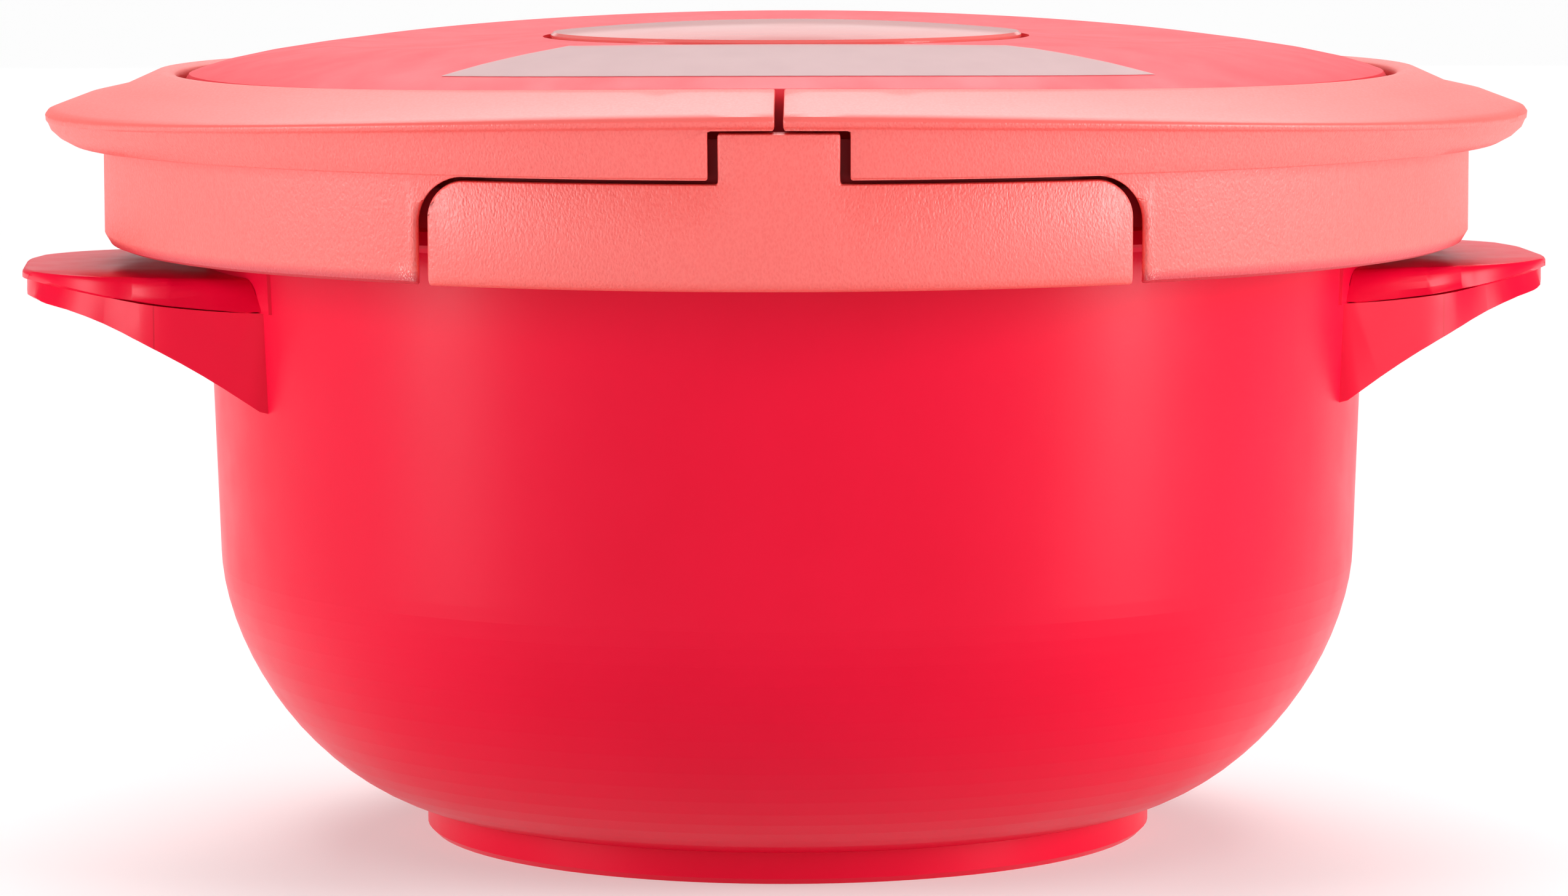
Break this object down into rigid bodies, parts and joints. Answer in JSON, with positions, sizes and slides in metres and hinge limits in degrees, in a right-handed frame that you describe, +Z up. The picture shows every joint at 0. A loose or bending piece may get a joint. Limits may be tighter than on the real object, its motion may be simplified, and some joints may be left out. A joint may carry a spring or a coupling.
{
  "type": "clamp-lid microwave cooking pot",
  "caption": "Round plastic cooking pot with side ear handles, a saddle-shaped lid held by sliding half-ring clamps, and a central press button.",
  "frame": {"origin": "centre of the foot ring's underside, on the surface the pot stands on", "axes": "+Z up through the button, +X towards the right handle, front cover at -Y"},
  "size_m": [0.267, 0.2438, 0.1412],
  "materials": {
    "pot_red": "satin moulded plastic",
    "lid_red": "fine matte moulded plastic",
    "coral_textured": "fine moulded leather grain",
    "coral_gloss": "polished",
    "inner_red": "plain moulded plastic",
    "white_plastic": "plain moulded plastic",
    "silicone": "matte silicone",
    "steel": "plain wire and turned steel"
  },
  "bodies": {
    "pot": {"pot_body": "pot_red", "handle_left": "pot_red", "handle_right": "pot_red", "lid_base": "inner_red", "sealing_gasket": "silicone", "lid_cover": "lid_red", "front_cover": "coral_textured", "rear_cover": "coral_textured", "valve_shield": "inner_red", "safety_plug": "silicone", "lid_screws": "steel"},
    "left_clamp": {"clamp_cover_left": "coral_textured", "clamp_slide_left": "inner_red", "clamp_screws_left": "steel"},
    "right_clamp": {"clamp_cover_right": "coral_textured", "clamp_slide_right": "inner_red", "clamp_screws_right": "steel"},
    "sync": {"sync_ring": "white_plastic"},
    "button": {"release_button": "coral_gloss", "valve_stem": "steel", "valve_seal": "silicone", "stem_clip": "steel", "button_spring": "steel"}
  },
  "joints": [
    {"name": "left_clamp_slide", "type": "slide", "parent": "pot", "child": "left_clamp", "axis": [-1, 0, 0], "range_m": [0, 0.011]},
    {"name": "right_clamp_slide", "type": "slide", "parent": "pot", "child": "right_clamp", "axis": [1, 0, 0], "range_m": [0, 0.011]},
    {"name": "sync_turn", "type": "hinge", "parent": "pot", "child": "sync", "pos_m": [0, 0, 0.1204], "axis": [0, 0, -1], "range_deg": [0, 28.7]},
    {"name": "button_press", "type": "slide", "parent": "pot", "child": "button", "axis": [0, 0, -1], "range_m": [0, 0.003], "stiffness_N_per_m": 900, "springref_m": -0.004, "deforming": ["button_spring"]}
  ],
  "couplings": [
    {"joint": "right_clamp_slide", "follows": "left_clamp_slide", "ratio": 1},
    {"joint": "sync_turn", "follows": "left_clamp_slide", "rad_per_m": 45.455}
  ]
}
